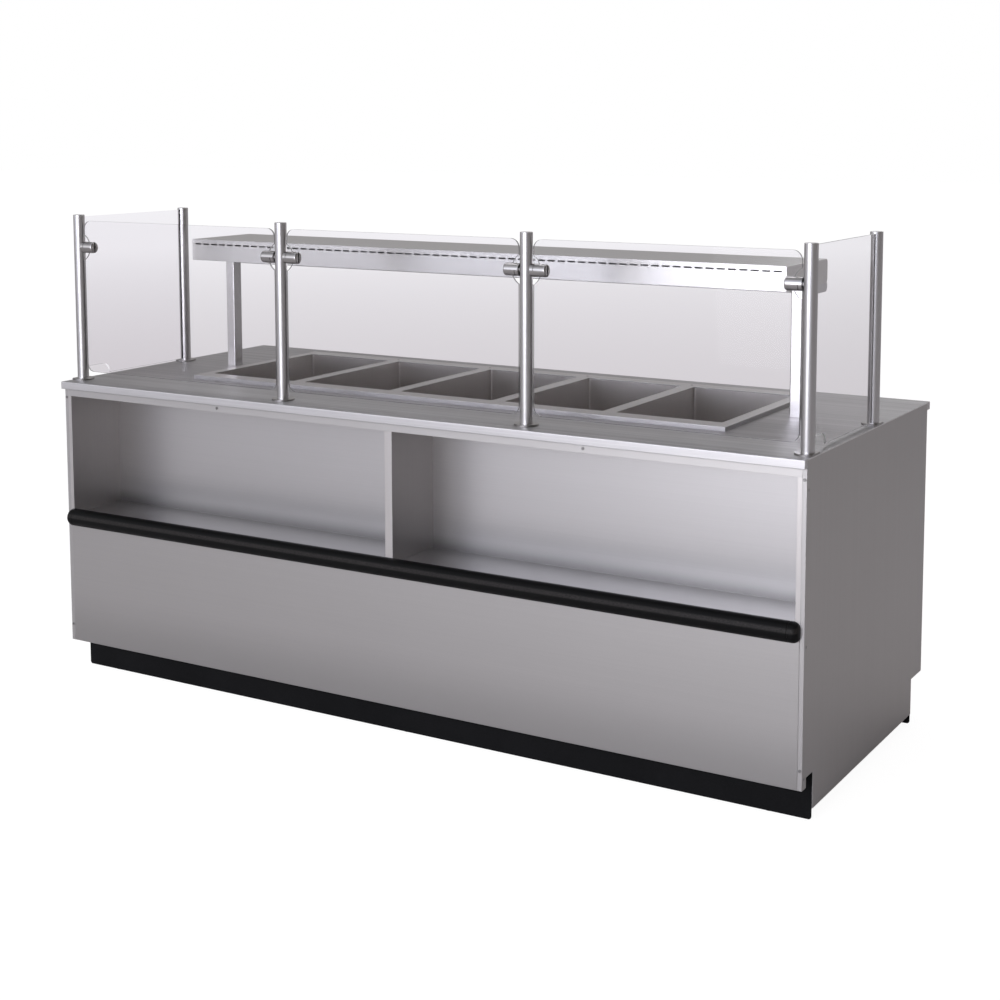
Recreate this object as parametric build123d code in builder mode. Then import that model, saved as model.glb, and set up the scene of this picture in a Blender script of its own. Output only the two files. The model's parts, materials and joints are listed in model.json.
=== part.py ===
from build123d import *
import os

# Hot buffet counter: a stainless cabinet with two open niches and a bumper on the customer side,
# a worktop with a row of heated wells, a tilting glass guard and an overhead shelf with a heat strip.
# Millimetres. X runs along the counter, Y from the customer to the operator, Z up from the floor.
# The origin is on the floor, in the middle of the counter's length and depth.

# Cabinet sizes
counter_length = 2408
counter_height = 914
front_overhang = 16
rear_overhang = 23
top_sheet = 3
top_edge = 22
edge_round = 1.5
skin = 2
end_thick = 12
seam = 0.5
rear_zone = 89

# Niche, lower front panel and bumper sizes
niche_depth = 203
niche_height = 366
rail_height = 23
rail_lip = 20
side_liner = 12
divider_width = 24
panel_bottom = 100
panel_return = 27
bumper_height = 53
bumper_reach = 28
bumper_drop = 11.5
bumper_end_gap = 10
bumper_end_round = 17

# Plinth sizes
toe_rise = 26
kick_setback = 73
kick_sheet = 2
kick_end_gap = 2
kick_floor_gap = 2
kick_corner = 8
end_clear = 31
rear_toe_depth = 88
floor_under = 133
foot_pad_r = 14
foot_pad_height = 14
foot_stem_r = 6
foot_set_in = 90

# Frame sizes
tube = 30
tube_wall = 2
rail_gap = 2
notch_gap = 0.5

# Well sizes
well_count = 5
well_width = 311
well_length = 502
well_gap = 40.5
well_depth = 203
well_corner = 6
pan_wall = 1.5
pan_lip = 10
rim_height = 12
rim_side = 33
rim_strip = 56
rim_lap = 12
cut_gap = 9
casing_fit = 1
casing_drop = 36
insulation_fit = 0.5
insulation_top_drop = 24

# Heating element sizes
element_r = 4
element_gap = 0.2
element_spread = 160
element_length = 380
element_room = 3

# Drain sizes
strainer_slots = 3
strainer_slot_length = 14
strainer_slot_width = 3
strainer_slot_pitch = 5
branch_r = 13
branch_bore_r = 10
pipe_r = 16.7
pipe_bore_r = 13.5
pipe_drop = 48
pipe_clear = 2
outlet_inset = 114
outlet_end = 45
spigot_r = 16
spigot_length = 40
valve_drop = 180
valve_height = 84
valve_r = 27
valve_boss_r = 11
valve_boss_reach = 44
stem_r = 5
stem_reach = 60
lever_length = 110
lever_width = 18
lever_thick = 5
hub_r = 11
lever_gap = 0.5
running_fit = 0.05

# Control panel sizes
control_recess = 12
control_height = 109
control_flange = 40
thermostat_side = 46
thermostat_deep = 34
bush_r = 5
bush_fit = 0.2
shaft_r = 3
shaft_reach = 18
knob_r = 20
knob_height = 22
knob_gap = 0.5
knob_bore_spare = 1
knob_round = 3
knob_skirt = 5
pointer_width = 8
pointer_rise = 6
lamp_offset = 52
lamp_r = 5
lamp_head_r = 7
lamp_head = 5
lamp_deep = 22
switch_end_gap = 129
switch_pitch = 60
switch_width = 20
switch_height = 29
switch_deep = 24
switch_fit = 0.2
bezel_margin = 3
bezel_thick = 2
rocker_width = 14.4
rocker_r = 12
rocker_side_gap = 0.3
rocker_pivot_in = 3
rocker_face_dip = 3
rocker_face_tip = 6.5
rocker_tilt = 10
rocker_pin_r = 1.5
rocker_pin_length = 1.8

# Cable gland sizes
gland_inset = 114
gland_bore_r = 7
gland_body_r = 12
gland_nut_r = 18
gland_nut = 8
gland_drop = 22
gland_fit = 0.3

# Sliding door sizes
door_thick = 14
door_side_gap = 1
door_overlap = 15
door_end_gap = 1
door_lift = 0.3
door_head_room = 6
track_rib = 2
track_base = 2
track_low_rib = 10
track_top_rib = 20
mullion_width = 40
pull_width = 26
pull_height = 100
pull_deep = 9
pull_inset = 60

# Glass guard sizes
post_r = 17
post_wall = 2
post_cap = 3
post_height = 508
post_inset = 21
post_row = 57
rear_row = 527
middle_bay = 806
flange_r = 33
flange_thick = 5
flange_chamfer = 1
glass_thick = 6
glass_edge = 22
glass_top_drop = 18
glass_foot_gap = 26
glass_corner = 25
clamp_drop = 99
clamp_r = 17
clamp_reach = 63.5
clamp_round = 5
clamp_post_gap = 0.5
clamp_grip_fit = 0.1
notch_r = 44
pin_r = 7
pin_reach = 37
pin_end_gap = 1
slit_at = 27.5
slit_width = 2
slit_deep = 2.5
end_glass_foot_gap = 8
end_glass_top_drop = 6
end_glass_slot_fit = 0.4
end_glass_bite = 8
end_cut_length = 114
end_cut_height = 38
end_cut_round = 28
end_glass_corner = 8

# Overhead shelf sizes
support_gap = 65
support_width = 32
support_deep = 38
support_wall = 2
support_round = 3
support_at = 510
shelf_end_overhang = 12
shelf_front = 365
shelf_deep = 291
shelf_rise = 421
shelf_height = 66
shelf_cap = 6
shelf_rear_round = 12
vent_count = 62
vent_pitch = 32
vent_length = 24
vent_height = 4.5
vent_drop = 14.5
heat_width = 100
heat_drop = 24
heat_wall = 3
heat_window = 60
heat_round = 14
rod_r = 5
rod_spread = 36

# Screw sizes
screw_head_r = 4
screw_head = 2
screw_r = 2
screw_length = 8
screw_hole_r = 2.2
stile_screw_drop = 50
stile_screw_rise = 50
end_screw_drop = 76
end_screw_rise = 26
end_screw_setback = 13
bumper_screw_drop = 37
flush_head = 1
flush_fit = 0.2

# Derived heights
half = counter_length / 2
inner_half = half - end_thick
top_under = counter_height - top_sheet
niche_top = counter_height - top_edge - rail_height
niche_floor = niche_top - niche_height
liner_ceiling = niche_top + skin
panel_top = niche_floor - skin
bumper_mid = niche_floor - bumper_drop
toe_ceiling = panel_bottom + toe_rise
floor_top = floor_under + skin
rim_top = counter_height + rim_height
rim_under = rim_top - skin
guard_top = counter_height + post_height
pivot_z = guard_top - clamp_drop
shelf_top = counter_height + shelf_rise
shelf_under = shelf_top - shelf_height

# Derived depths, measured back from the cabinet's front face
rail_near = niche_depth + skin + rail_gap
cut_near = rail_near + tube + cut_gap
rim_near = cut_near - rim_lap
well_near = rim_near + rim_strip
well_far = well_near + well_length
well_mid = (well_near + well_far) / 2
rim_far = well_far + rim_strip
cut_far = rim_far - rim_lap
cabinet_depth = rim_far + rear_zone
control_face = cabinet_depth - control_recess
kick_rear = cabinet_depth - rear_toe_depth
track_groove = door_thick + 2 * door_side_gap
track_deep = 3 * track_rib + 2 * track_groove
shelf_back = shelf_front + shelf_deep

# Derived widths
well_pitch = well_width + well_gap
wells_half = (well_count * well_pitch - well_gap) / 2
well_xs = [well_pitch * (i - (well_count - 1) / 2) for i in range(well_count)]
rim_half = wells_half + rim_side
cut_half = rim_half - rim_lap
support_x = rim_half + support_gap + support_width / 2
shelf_half = support_x + support_width / 2 + shelf_end_overhang
post_end_x = half - post_inset
post_xs = [-post_end_x, -middle_bay / 2, middle_bay / 2, post_end_x]

# The front face's place on Y puts the origin in the middle of the whole depth
front_y = bumper_reach - (bumper_reach + cabinet_depth + rear_overhang) / 2


def at(x, depth, z):
    """Point from its place along the counter, its depth behind the front face and its height."""
    return (x, front_y + depth, z)


def level(z):
    """Level plane whose sketch coordinates are place along the counter and depth."""
    return Plane(origin=(0, front_y, z))


def upright(depth):
    """Upright plane facing the customer, whose sketch coordinates are place along and height."""
    return Plane(origin=(0, front_y + depth, 0), x_dir=(1, 0, 0), z_dir=(0, -1, 0))


def across(x):
    """Upright plane across the counter, whose sketch coordinates are depth and height."""
    return Plane(origin=(x, front_y, 0), x_dir=(0, 1, 0), z_dir=(1, 0, 0))


def block(x_span, depth_span, z_span, mode=Mode.ADD):
    """Box between limits along the counter, in depth and in height."""
    sizes = [high - low for low, high in (x_span, depth_span, z_span)]
    middle = [(low + high) / 2 for low, high in (x_span, depth_span, z_span)]
    with Locations(at(*middle)):
        Box(*sizes, mode=mode)


def write(piece, name):
    """Label a finished sub-part and save it."""
    piece.part.label = name
    export_step(piece.part, f"parts/{name}.step")


os.makedirs("parts", exist_ok=True)

# Base frame: plinth rails, cross rails, uprights and the rails that carry the worktop
frame_end = inner_half - tube / 2
rail_front = kick_setback + kick_sheet + tube / 2
rail_rear = kick_rear - kick_sheet - tube / 2
post_front = rail_near + tube / 2
top_rear = control_face - tube / 2
low_z = floor_under - tube / 2
high_z = top_under - tube / 2


def bar(start, end):
    """Limits of a square tube between two points on its centre line."""
    spans = [sorted(pair) for pair in zip(start, end)]
    reaches = [tube / 2 if low == high else 0 for low, high in spans]
    return [(low - reach, high + reach) for (low, high), reach in zip(spans, reaches)]


def bore(limits):
    """Limits of the hollow inside such a tube."""
    widths = [high - low for low, high in limits]
    walls = [0 if width == max(widths) else tube_wall for width in widths]
    return [(low + wall, high - wall) for (low, high), wall in zip(limits, walls)]


frame_xs = (-frame_end, 0, frame_end)
frame_end_xs = (-frame_end, frame_end)
long_rails = [(rail_front, low_z), (rail_rear, low_z), (post_front, high_z), (top_rear, high_z)]
frame_bars = [bar((-inner_half, depth, z), (inner_half, depth, z)) for depth, z in long_rails]
frame_bars += [bar((x, rail_front, low_z), (x, rail_rear, low_z)) for x in frame_xs]
frame_bars += [bar((x, post_front, high_z), (x, top_rear, high_z)) for x in frame_end_xs]
frame_bars += [bar((x, post_front, low_z), (x, post_front, high_z)) for x in frame_xs]
frame_bars += [bar((x, rail_rear, low_z), (x, rail_rear, high_z)) for x in frame_end_xs]

with BuildPart() as base_frame:
    for limits in frame_bars:
        block(*limits)
    for limits in frame_bars:
        block(*bore(limits), mode=Mode.SUBTRACT)
write(base_frame, "base_frame")

# Levelling feet under the plinth's long rails
foot_xs = (-frame_end + foot_set_in, 0, frame_end - foot_set_in)
foot_spots = [(x, depth) for x in foot_xs for depth in (rail_front, rail_rear)]
with BuildPart() as levelling_feet:
    with BuildSketch(level(0)):
        with Locations(*foot_spots):
            Circle(foot_pad_r)
    extrude(amount=foot_pad_height)
    chamfer(levelling_feet.faces().filter_by(Axis.Z).group_by(Axis.Z)[-1].edges(), foot_pad_height / 2)
    with BuildSketch(level(foot_pad_height)):
        with Locations(*foot_spots):
            Circle(foot_stem_r)
    extrude(amount=low_z - tube / 2 - foot_pad_height)
write(levelling_feet, "levelling_feet")

# End panels: folded pans with a toe notch at the front and at the rear
end_outline = [
    (0, top_under),
    (0, panel_bottom),
    (panel_return, panel_bottom),
    (panel_return, toe_ceiling),
    (kick_setback + kick_sheet, toe_ceiling),
    (kick_setback + kick_sheet, end_clear),
    (kick_rear - kick_sheet, end_clear),
    (kick_rear - kick_sheet, floor_under),
    (cabinet_depth, floor_under),
    (cabinet_depth, top_under),
]
stile_screw_zs = (counter_height - stile_screw_drop, panel_bottom + stile_screw_rise)
end_screw_spots = [
    (end_screw_setback, counter_height - end_screw_drop),
    (end_screw_setback, bumper_mid - bumper_screw_drop),
    (end_screw_setback, panel_bottom + end_screw_rise),
]
for side, name in ((-1, "left_end_panel"), (1, "right_end_panel")):
    with BuildPart() as end_panel:
        with BuildSketch(across(side * half)):
            Polygon(*end_outline, align=None)
        extrude(amount=-side * end_thick)
        with BuildSketch(across(side * (half - skin))):
            Polygon(*end_outline, align=None)
            offset(amount=-skin, kind=Kind.INTERSECTION, mode=Mode.REPLACE)
        extrude(amount=-side * (end_thick - skin), mode=Mode.SUBTRACT)
        with BuildSketch(upright(0)):
            with Locations(*[(side * (half - end_thick / 2), z) for z in stile_screw_zs]):
                Circle(screw_hole_r)
        extrude(amount=-skin, mode=Mode.SUBTRACT)
        for radius, reach in ((screw_head_r + flush_fit, flush_head), (screw_hole_r, skin)):
            with BuildSketch(across(side * half)):
                with Locations(*end_screw_spots):
                    Circle(radius)
            extrude(amount=-side * reach, mode=Mode.SUBTRACT)
    write(end_panel, name)

# Lower front panel: a folded pan between the end panels
panel_half = inner_half - seam
with BuildPart() as front_lower_panel:
    block((-panel_half, panel_half), (0, panel_return), (panel_bottom, panel_top))
    block(
        (-panel_half + skin, panel_half - skin),
        (skin, panel_return),
        (panel_bottom + skin, panel_top - skin),
        mode=Mode.SUBTRACT,
    )
write(front_lower_panel, "front_lower_panel")

# Rail over the niches: a folded channel under the worktop's front edge
rail_screw_xs = (-half / 2, half / 2)
rail_mid_z = niche_top + rail_height / 2
with BuildPart() as niche_rail:
    block((-inner_half, inner_half), (0, rail_lip), (niche_top, niche_top + rail_height))
    block(
        (-inner_half, inner_half),
        (skin, rail_lip),
        (niche_top + skin, niche_top + rail_height - skin),
        mode=Mode.SUBTRACT,
    )
    with BuildSketch(upright(0)):
        with Locations(*[(x, rail_mid_z) for x in rail_screw_xs]):
            Circle(screw_hole_r)
    extrude(amount=-skin, mode=Mode.SUBTRACT)
write(niche_rail, "niche_rail")

# Niche liner: one sheet folded into ceiling, back and floor
with BuildPart() as niche_liner:
    block((-inner_half, inner_half), (0, niche_depth + skin), (panel_top, liner_ceiling + skin))
    block((-inner_half, inner_half), (0, niche_depth), (niche_floor, liner_ceiling), mode=Mode.SUBTRACT)
    block((-inner_half, inner_half), (0, skin), (liner_ceiling, liner_ceiling + skin), mode=Mode.SUBTRACT)
write(niche_liner, "niche_liner")

# Niche divider: a channel that stands on the liner's floor
with BuildPart() as niche_divider:
    block((-divider_width / 2, divider_width / 2), (0, niche_depth), (niche_floor, niche_top))
    block(
        (-divider_width / 2 + skin, divider_width / 2 - skin),
        (skin, niche_depth),
        (niche_floor, niche_top),
        mode=Mode.SUBTRACT,
    )
write(niche_divider, "niche_divider")

# Niche sides: folded pans against the end panels
with BuildPart() as niche_sides:
    for side in (-1, 1):
        inner_face = side * (inner_half - side_liner)
        outer_face = side * inner_half
        skin_back = inner_face + side * skin
        block(sorted((inner_face, outer_face)), (0, niche_depth), (niche_floor, niche_top))
        block(
            sorted((skin_back, outer_face)),
            (skin, niche_depth - skin),
            (niche_floor + skin, niche_top - skin),
            mode=Mode.SUBTRACT,
        )
write(niche_sides, "niche_sides")

# Kick plates: sheets in front of and behind the plinth, just clear of the floor
kick_half = half - kick_end_gap
for near, name in ((kick_setback, "front_kick_plate"), (kick_rear - kick_sheet, "rear_kick_plate")):
    with BuildPart() as kick_plate:
        block((-kick_half, kick_half), (near, near + kick_sheet), (kick_floor_gap, toe_ceiling))
        fillet(kick_plate.edges().filter_by(Axis.Y).group_by(Axis.Z)[0], kick_corner)
    write(kick_plate, name)

# Cabinet floor: a sheet on the plinth rails, notched round the uprights
outlet_x = half - outlet_inset
gland_x = -half + gland_inset
upright_spots = [(x, post_front) for x in frame_xs] + [(x, rail_rear) for x in frame_end_xs]
with BuildPart() as cabinet_floor:
    block((-inner_half, inner_half), (panel_return, cabinet_depth - skin), (floor_under, floor_top))
    with BuildSketch(level(floor_under)):
        with Locations(*upright_spots):
            Rectangle(tube + 2 * notch_gap, tube + 2 * notch_gap)
        with Locations((outlet_x, well_mid)):
            Circle(pipe_r + pipe_clear)
        with Locations((gland_x, well_mid)):
            Circle(gland_body_r + gland_fit)
    extrude(amount=skin, mode=Mode.SUBTRACT)
write(cabinet_floor, "cabinet_floor")

# Bumper: a half-round bar with rounded end corners along the foot of the niches
bumper_r = bumper_height / 2
bumper_top = bumper_mid + bumper_r
bumper_under = bumper_mid - bumper_r
nose = bumper_r - bumper_reach
bumper_run = half - bumper_end_gap
with BuildPart() as bumper_rail:
    with BuildSketch(across(-bumper_run)):
        with BuildLine():
            Polyline((nose, bumper_top), (0, bumper_top), (0, bumper_under), (nose, bumper_under))
            ThreePointArc((nose, bumper_under), (-bumper_reach, bumper_mid), (nose, bumper_top))
        make_face()
    extrude(amount=2 * bumper_run)
    end_faces = bumper_rail.faces().filter_by(Axis.X)
    end_edges = [edge for face in end_faces for edge in face.edges().sort_by(Axis.Y)[:-1]]
    fillet(end_edges, bumper_end_round)
write(bumper_rail, "bumper_rail")

# Worktop: one sheet with folded front and rear edges and a cut-out for the wells
with BuildPart() as countertop:
    block((-half, half), (-front_overhang, cabinet_depth + rear_overhang), (top_under, counter_height))
    for near, far in ((-front_overhang, 0), (cabinet_depth, cabinet_depth + rear_overhang)):
        block((-half, half), (near, far), (counter_height - top_edge, counter_height))
        hollow_near = near + (top_sheet if near < 0 else 0)
        hollow_far = far - (0 if near < 0 else top_sheet)
        block(
            (-half + top_sheet, half - top_sheet),
            (hollow_near, hollow_far),
            (counter_height - top_edge + top_sheet, top_under),
            mode=Mode.SUBTRACT,
        )
    block((-cut_half, cut_half), (cut_near, cut_far), (top_under, counter_height), mode=Mode.SUBTRACT)
    fillet(countertop.faces().sort_by(Axis.Z)[-1].outer_wire().edges(), edge_round)
write(countertop, "countertop")

# Well rim: a raised tray frame that lies on the worktop, with one opening for each well
with BuildPart() as well_rim:
    block((-rim_half, rim_half), (rim_near, rim_far), (counter_height, rim_top))
    fillet(well_rim.edges().filter_by(Axis.Z), edge_round)
    fillet(well_rim.faces().sort_by(Axis.Z)[-1].edges(), edge_round)
    block(
        (-rim_half + skin, rim_half - skin),
        (rim_near + skin, rim_far - skin),
        (counter_height, rim_under),
        mode=Mode.SUBTRACT,
    )
    with BuildSketch(level(rim_under)):
        with Locations(*[(x, well_mid) for x in well_xs]):
            RectangleRounded(well_width, well_length, well_corner)
    extrude(amount=skin, mode=Mode.SUBTRACT)
write(well_rim, "well_rim")

# Well pans: drawn pans that hang under the rim by their lips, with a slotted drain in the floor
pan_floor = rim_top - well_depth
pan_under = pan_floor - pan_wall
pan_width = well_width + 2 * pan_wall
pan_length = well_length + 2 * pan_wall
for number, x in enumerate(well_xs, start=1):
    with BuildPart() as well_pan:
        with BuildSketch(level(rim_under)):
            with Locations((x, well_mid)):
                RectangleRounded(pan_width, pan_length, well_corner + pan_wall)
        extrude(amount=pan_under - rim_under)
        fillet(well_pan.faces().sort_by(Axis.Z)[0].edges(), well_corner)
        offset(amount=-pan_wall, openings=well_pan.faces().sort_by(Axis.Z)[-1])
        with BuildSketch(level(rim_under)):
            with Locations((x, well_mid)):
                RectangleRounded(well_width + 2 * pan_lip, well_length + 2 * pan_lip, well_corner + pan_lip)
                RectangleRounded(well_width, well_length, well_corner, mode=Mode.SUBTRACT)
        extrude(amount=-pan_wall)
        with BuildSketch(level(pan_under)):
            with Locations((x, well_mid)):
                with GridLocations(strainer_slot_pitch, strainer_slot_pitch, 1, strainer_slots):
                    SlotOverall(strainer_slot_length, strainer_slot_width)
        extrude(amount=pan_wall, mode=Mode.SUBTRACT)
    write(well_pan, f"well_pan_{number}")

# Well casing: an open box round all the pans, hung from the rim
case_half = cut_half - casing_fit
case_near = cut_near + casing_fit
case_far = cut_far - casing_fit
case_under = pan_under - casing_drop
with BuildPart() as well_casing:
    block((-case_half, case_half), (case_near, case_far), (case_under, rim_under))
    block(
        (-case_half + skin, case_half - skin),
        (case_near + skin, case_far - skin),
        (case_under + skin, rim_under),
        mode=Mode.SUBTRACT,
    )
    with BuildSketch(level(case_under)):
        with Locations(*[(x, well_mid) for x in well_xs]):
            Circle(branch_r + pipe_clear)
    extrude(amount=skin, mode=Mode.SUBTRACT)
write(well_casing, "well_casing")

# Insulation: a block that fills the casing, with a pocket for each pan and its element
pocket_under = pan_under - element_gap - 2 * element_r - element_room
pocket_width = pan_width + 2 * insulation_fit
pocket_length = pan_length + 2 * insulation_fit
fill_half = case_half - skin - insulation_fit
fill_near = case_near + skin + insulation_fit
fill_far = case_far - skin - insulation_fit
fill_top = counter_height - insulation_top_drop
with BuildPart() as well_insulation:
    block((-fill_half, fill_half), (fill_near, fill_far), (case_under + skin, fill_top))
    with BuildSketch(level(pocket_under)):
        with Locations(*[(x, well_mid) for x in well_xs]):
            Rectangle(pocket_width, pocket_length)
    extrude(amount=fill_top - pocket_under, mode=Mode.SUBTRACT)
    with BuildSketch(level(case_under)):
        with Locations(*[(x, well_mid) for x in well_xs]):
            Circle(branch_r + pipe_clear)
    extrude(amount=pocket_under - case_under, mode=Mode.SUBTRACT)
write(well_insulation, "well_insulation")

# Heating elements: one hairpin of sheathed rod under each pan
element_z = pan_under - element_gap - element_r
bend_r = element_spread / 2
leg_far = well_mid + element_length / 2
leg_near = well_mid - element_length / 2 + bend_r
with BuildPart() as heating_elements:
    for x in well_xs:
        with BuildLine(level(element_z)):
            Line((x - bend_r, leg_far), (x - bend_r, leg_near))
            ThreePointArc((x - bend_r, leg_near), (x, leg_near - bend_r), (x + bend_r, leg_near))
            Line((x + bend_r, leg_near), (x + bend_r, leg_far))
        with BuildSketch(Plane(origin=at(x - bend_r, leg_far, element_z), z_dir=(0, -1, 0))):
            Circle(element_r)
        sweep()
write(heating_elements, "heating_elements")

# Drain pipes: a manifold with a branch to each pan, and the outlet pipe under the valve
pipe_z = case_under - pipe_drop
valve_top = pipe_z - valve_drop
valve_under = valve_top - valve_height


def drain_run(main_r, side_r, end_r, mode):
    """Manifold, branches, outlet pipe and its spigot as solid rods of the given radii."""
    start = well_xs[0] - branch_r - main_r
    with BuildSketch(across(start)) as main:
        with Locations((well_mid, pipe_z)):
            Circle(main_r)
    extrude(main.sketch, amount=outlet_x - start, mode=mode)
    with BuildSketch(level(pipe_z)) as branches:
        with Locations(*[(x, well_mid) for x in well_xs]):
            Circle(side_r)
    extrude(branches.sketch, amount=pan_under - pipe_z, mode=mode)
    with Locations(at(outlet_x, well_mid, pipe_z)):
        Sphere(main_r, mode=mode)
    spigot_top = outlet_end + spigot_length
    drops = [
        (main_r, pipe_z, valve_top),
        (main_r, valve_under, spigot_top),
        (end_r, spigot_top, outlet_end),
    ]
    for radius, top, under in drops:
        with BuildSketch(level(top)) as drop:
            with Locations((outlet_x, well_mid)):
                Circle(radius)
        extrude(drop.sketch, amount=under - top, mode=mode)


with BuildPart() as drain_pipes:
    drain_run(pipe_r, branch_r, spigot_r, Mode.ADD)
    drain_run(pipe_bore_r, branch_bore_r, pipe_bore_r, Mode.SUBTRACT)
write(drain_pipes, "drain_pipes")

# Drain valve body: a barrel between the two pipes, with a boss and a stem towards the operator
valve_mid = (valve_top + valve_under) / 2
with BuildPart() as drain_valve_body:
    with BuildSketch(level(valve_under)):
        with Locations((outlet_x, well_mid)):
            RegularPolygon(valve_r, 6)
    extrude(amount=valve_height)
    with BuildSketch(upright(well_mid)):
        with Locations((outlet_x, valve_mid)):
            Circle(valve_boss_r)
    extrude(amount=-valve_boss_reach)
    with BuildSketch(upright(well_mid)):
        with Locations((outlet_x, valve_mid)):
            Circle(stem_r)
    extrude(amount=-stem_reach)
    with BuildSketch(level(valve_under)):
        with Locations((outlet_x, well_mid)):
            Circle(pipe_bore_r)
    extrude(amount=valve_height, mode=Mode.SUBTRACT)
write(drain_valve_body, "drain_valve_body")

# Drain valve lever: a flat handle on the stem, level when the valve is shut
lever_near = well_mid + valve_boss_reach + lever_gap
with BuildPart() as drain_valve_lever:
    with BuildSketch(upright(lever_near)):
        with Locations((outlet_x, valve_mid)):
            Circle(hub_r)
        with Locations((outlet_x - lever_length / 2, valve_mid)):
            SlotOverall(lever_length, lever_width)
        with Locations((outlet_x, valve_mid)):
            Circle(stem_r + running_fit, mode=Mode.SUBTRACT)
    extrude(amount=-lever_thick)
write(drain_valve_lever, "drain_valve_lever")

# Control panel: a folded sheet under the worktop's rear edge
control_top = top_under - tube
control_under = control_top - control_height
control_mid = (control_top + control_under) / 2
control_back = control_face - skin
flange_near = control_face - control_flange
switch_xs = [inner_half - switch_end_gap - i * switch_pitch for i in (1, 0)]
lamp_xs = [x + lamp_offset for x in well_xs]
with BuildPart() as control_panel:
    block((-inner_half, inner_half), (flange_near, control_face), (control_under, control_top))
    block(
        (-inner_half, inner_half),
        (flange_near, control_back),
        (control_under + skin, control_top - skin),
        mode=Mode.SUBTRACT,
    )
    with BuildSketch(upright(control_back)):
        with Locations(*[(x, control_mid) for x in well_xs]):
            Circle(bush_r + bush_fit)
        with Locations(*[(x, control_mid) for x in lamp_xs]):
            Circle(lamp_r + bush_fit)
        with Locations(*[(x, control_mid) for x in switch_xs]):
            Rectangle(switch_width + 2 * switch_fit, switch_height + 2 * switch_fit)
    extrude(amount=-skin, mode=Mode.SUBTRACT)
write(control_panel, "control_panel")

# Thermostats: a body behind the panel, a bush through it and a shaft for the knob
with BuildPart() as thermostats:
    for x in well_xs:
        block(
            (x - thermostat_side / 2, x + thermostat_side / 2),
            (control_back - thermostat_deep, control_back),
            (control_mid - thermostat_side / 2, control_mid + thermostat_side / 2),
        )
    with BuildSketch(upright(control_back)):
        with Locations(*[(x, control_mid) for x in well_xs]):
            Circle(bush_r)
    extrude(amount=-skin)
    with BuildSketch(upright(control_face)):
        with Locations(*[(x, control_mid) for x in well_xs]):
            Circle(shaft_r)
    extrude(amount=-shaft_reach)
write(thermostats, "thermostats")

# Knobs: one for each well, with a skirt and a raised pointer
knob_near = control_face + knob_gap
for number, x in enumerate(well_xs, start=1):
    with BuildPart() as knob:
        with BuildSketch(upright(knob_near)):
            with Locations((x, control_mid)):
                Circle(knob_r)
        extrude(amount=-(knob_height - pointer_rise))
        fillet(knob.faces().sort_by(Axis.Y)[-1].edges(), knob_round)
        with BuildSketch(upright(knob_near + knob_skirt)):
            with Locations((x, control_mid)):
                SlotOverall(2 * (knob_r - knob_round), pointer_width, rotation=90)
        extrude(amount=-(knob_height - knob_skirt))
        with BuildSketch(upright(knob_near)):
            with Locations((x, control_mid)):
                Circle(shaft_r + running_fit)
        extrude(amount=-(shaft_reach - knob_gap + knob_bore_spare), mode=Mode.SUBTRACT)
    write(knob, f"knob_{number}")

# Pilot lamps: a domed lens on the panel and a barrel behind it
with BuildPart() as pilot_lamps:
    with BuildSketch(upright(control_back - lamp_deep)):
        with Locations(*[(x, control_mid) for x in lamp_xs]):
            Circle(lamp_r)
    extrude(amount=-(lamp_deep + skin))
    with BuildSketch(upright(control_face)):
        with Locations(*[(x, control_mid) for x in lamp_xs]):
            Circle(lamp_head_r)
    extrude(amount=-lamp_head)
    fillet(pilot_lamps.faces().sort_by(Axis.Y)[-well_count:].edges(), lamp_head / 2)
write(pilot_lamps, "pilot_lamps")

# Switch bodies: a bezel on the panel, a body through it and a well for the rocker
pivot_depth = control_face - rocker_pivot_in
rocker_well = rocker_r + rocker_side_gap
bezel_width = switch_width + 2 * bezel_margin
bezel_height = switch_height + 2 * bezel_margin
with BuildPart() as switch_bodies:
    for x in switch_xs:
        block(
            (x - switch_width / 2, x + switch_width / 2),
            (control_face - switch_deep, control_face + bezel_thick),
            (control_mid - switch_height / 2, control_mid + switch_height / 2),
        )
        block(
            (x - bezel_width / 2, x + bezel_width / 2),
            (control_face, control_face + bezel_thick),
            (control_mid - bezel_height / 2, control_mid + bezel_height / 2),
        )
        block(
            (x - rocker_width / 2 - rocker_side_gap, x + rocker_width / 2 + rocker_side_gap),
            (pivot_depth - rocker_well, control_face + bezel_thick),
            (control_mid - rocker_well, control_mid + rocker_well),
            mode=Mode.SUBTRACT,
        )
        pin_half = rocker_width / 2 + rocker_side_gap + rocker_pin_length
        with BuildSketch(across(x - pin_half)):
            with Locations((pivot_depth, control_mid)):
                Circle(rocker_pin_r + running_fit)
        extrude(amount=2 * pin_half, mode=Mode.SUBTRACT)
write(switch_bodies, "switch_bodies")

# Rockers: a dished face on a round back, turning on two short pins
for x, name in zip(switch_xs, ("power_rocker", "heat_strip_rocker")):
    with BuildPart() as rocker:
        tilted = Plane(origin=at(x, pivot_depth, control_mid), x_dir=(0, 1, 0), z_dir=(1, 0, 0))
        tilted = tilted.rotated((-rocker_tilt, 0, 0))
        tip_z = (rocker_r**2 - rocker_face_tip**2) ** 0.5
        with BuildSketch(tilted):
            with BuildLine():
                Polyline((rocker_face_tip, tip_z), (rocker_face_dip, 0), (rocker_face_tip, -tip_z))
                ThreePointArc((rocker_face_tip, -tip_z), (-rocker_r, 0), (rocker_face_tip, tip_z))
            make_face()
        extrude(amount=rocker_width / 2, both=True)
        with BuildSketch(tilted):
            Circle(rocker_pin_r)
        extrude(amount=rocker_width / 2 + rocker_pin_length, both=True)
    write(rocker, name)

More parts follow.
